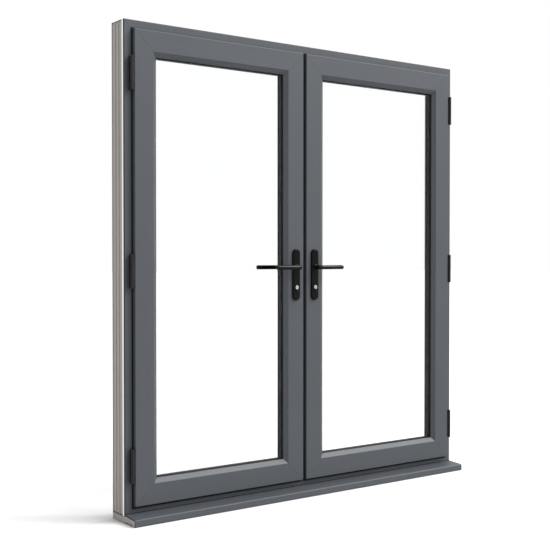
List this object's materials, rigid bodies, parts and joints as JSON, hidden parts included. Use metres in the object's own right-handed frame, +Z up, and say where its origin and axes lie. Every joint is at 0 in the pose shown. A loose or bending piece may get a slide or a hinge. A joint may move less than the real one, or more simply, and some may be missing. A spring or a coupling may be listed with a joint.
{
  "type": "french doors",
  "caption": "Pair of outward-opening glazed french doors in a foiled plastic frame with a projecting cill, barrel hinges, black lever handles and shoot bolts.",
  "frame": {"origin": "middle of the cill's underside, at half the frame's depth", "axes": "+X along the width to the right seen from outdoors, -Y outdoors, +Z up"},
  "size_m": [1.91, 0.199, 2.088],
  "materials": {
    "foiled_plastic": "anthracite foil with a fine woodgrain, satin, on greige plastic",
    "bare_plastic": "unfoiled greige plastic",
    "zinc_steel": "zinc plated",
    "seal_rubber": "black weather seal",
    "spacer": "dark warm-edge spacer",
    "glass": "clear float glass",
    "black_metal": "black powder coat, satin",
    "nickel": "satin nickel"
  },
  "bodies": {
    "frame": {"frame_head": "foiled_plastic", "frame_left_jamb": "foiled_plastic", "frame_right_jamb": "foiled_plastic", "frame_threshold": "foiled_plastic", "frame_steels": "zinc_steel", "frame_seal": "seal_rubber", "cill": "foiled_plastic", "cill_end_caps": "bare_plastic", "hinge_frame_plates_left": "black_metal", "hinge_frame_plates_right": "black_metal", "hinge_pins": "black_metal", "frame_screws": "black_metal", "bolt_keeps": "zinc_steel"},
    "left_leaf": {"left_hinge_stile": "foiled_plastic", "left_meeting_stile": "foiled_plastic", "left_top_rail": "foiled_plastic", "left_bottom_rail": "foiled_plastic", "left_leaf_steels": "zinc_steel", "left_outer_pane": "glass", "left_inner_pane": "glass", "left_spacer_bar": "spacer", "left_glazing_gaskets": "seal_rubber", "left_glazing_beads": "foiled_plastic", "left_weather_seal": "seal_rubber", "left_hinge_plates": "black_metal", "left_leaf_screws": "black_metal", "left_outer_backplate": "black_metal", "left_inner_backplate": "black_metal", "left_lock_case": "zinc_steel", "left_cylinder": "nickel", "meeting_cover": "foiled_plastic"},
    "left_handle": {"left_outer_lever": "black_metal", "left_inner_lever": "black_metal", "left_spindle": "zinc_steel"},
    "left_key_plug": {"left_cylinder_plug": "nickel"},
    "left_upper_bolt": {"left_top_bolt": "zinc_steel"},
    "left_lower_bolt": {"left_bottom_bolt": "zinc_steel"},
    "right_leaf": {"right_hinge_stile": "foiled_plastic", "right_meeting_stile": "foiled_plastic", "right_top_rail": "foiled_plastic", "right_bottom_rail": "foiled_plastic", "right_leaf_steels": "zinc_steel", "right_outer_pane": "glass", "right_inner_pane": "glass", "right_spacer_bar": "spacer", "right_glazing_gaskets": "seal_rubber", "right_glazing_beads": "foiled_plastic", "right_weather_seal": "seal_rubber", "right_hinge_plates": "black_metal", "right_leaf_screws": "black_metal", "right_outer_backplate": "black_metal", "right_inner_backplate": "black_metal", "right_lock_case": "zinc_steel", "right_cylinder": "nickel"},
    "right_handle": {"right_outer_lever": "black_metal", "right_inner_lever": "black_metal", "right_spindle": "zinc_steel"},
    "right_key_plug": {"right_cylinder_plug": "nickel"},
    "right_upper_bolt": {"right_top_bolt": "zinc_steel"},
    "right_lower_bolt": {"right_bottom_bolt": "zinc_steel"}
  },
  "joints": [
    {"name": "left_leaf_swing", "type": "hinge", "parent": "frame", "child": "left_leaf", "pos_m": [-0.9295, -0.076, 0], "axis": [0, 0, -1], "range_deg": [0, 110]},
    {"name": "left_lever_lift", "type": "hinge", "parent": "left_leaf", "child": "left_handle", "pos_m": [-0.0805, -0.067, 1.058], "axis": [0, 1, 0], "range_deg": [0, 45]},
    {"name": "left_key_turn", "type": "hinge", "parent": "left_leaf", "child": "left_key_plug", "pos_m": [-0.0805, -0.067, 0.966], "axis": [0, 1, 0], "continuous": true},
    {"name": "left_top_bolt_throw", "type": "slide", "parent": "left_leaf", "child": "left_upper_bolt", "axis": [0, 0, 1], "range_m": [0, 0.0201]},
    {"name": "left_bottom_bolt_throw", "type": "slide", "parent": "left_leaf", "child": "left_lower_bolt", "axis": [0, 0, -1], "range_m": [0, 0.0201]},
    {"name": "right_leaf_swing", "type": "hinge", "parent": "frame", "child": "right_leaf", "pos_m": [0.9295, -0.076, 0], "axis": [0, 0, 1], "range_deg": [0, 110]},
    {"name": "right_lever_lift", "type": "hinge", "parent": "right_leaf", "child": "right_handle", "pos_m": [0.0285, -0.067, 1.058], "axis": [0, -1, 0], "range_deg": [0, 45]},
    {"name": "right_key_turn", "type": "hinge", "parent": "right_leaf", "child": "right_key_plug", "pos_m": [0.0285, -0.067, 0.966], "axis": [0, 1, 0], "continuous": true},
    {"name": "right_top_bolt_throw", "type": "slide", "parent": "right_leaf", "child": "right_upper_bolt", "axis": [0, 0, 1], "range_m": [0, 0.0201]},
    {"name": "right_bottom_bolt_throw", "type": "slide", "parent": "right_leaf", "child": "right_lower_bolt", "axis": [0, 0, -1], "range_m": [0, 0.0201]}
  ],
  "couplings": [
    {"joint": "left_top_bolt_throw", "follows": "left_lever_lift", "m_per_rad": 0.025465},
    {"joint": "left_bottom_bolt_throw", "follows": "left_lever_lift", "m_per_rad": 0.025465},
    {"joint": "right_top_bolt_throw", "follows": "right_lever_lift", "m_per_rad": 0.025465},
    {"joint": "right_bottom_bolt_throw", "follows": "right_lever_lift", "m_per_rad": 0.025465}
  ]
}
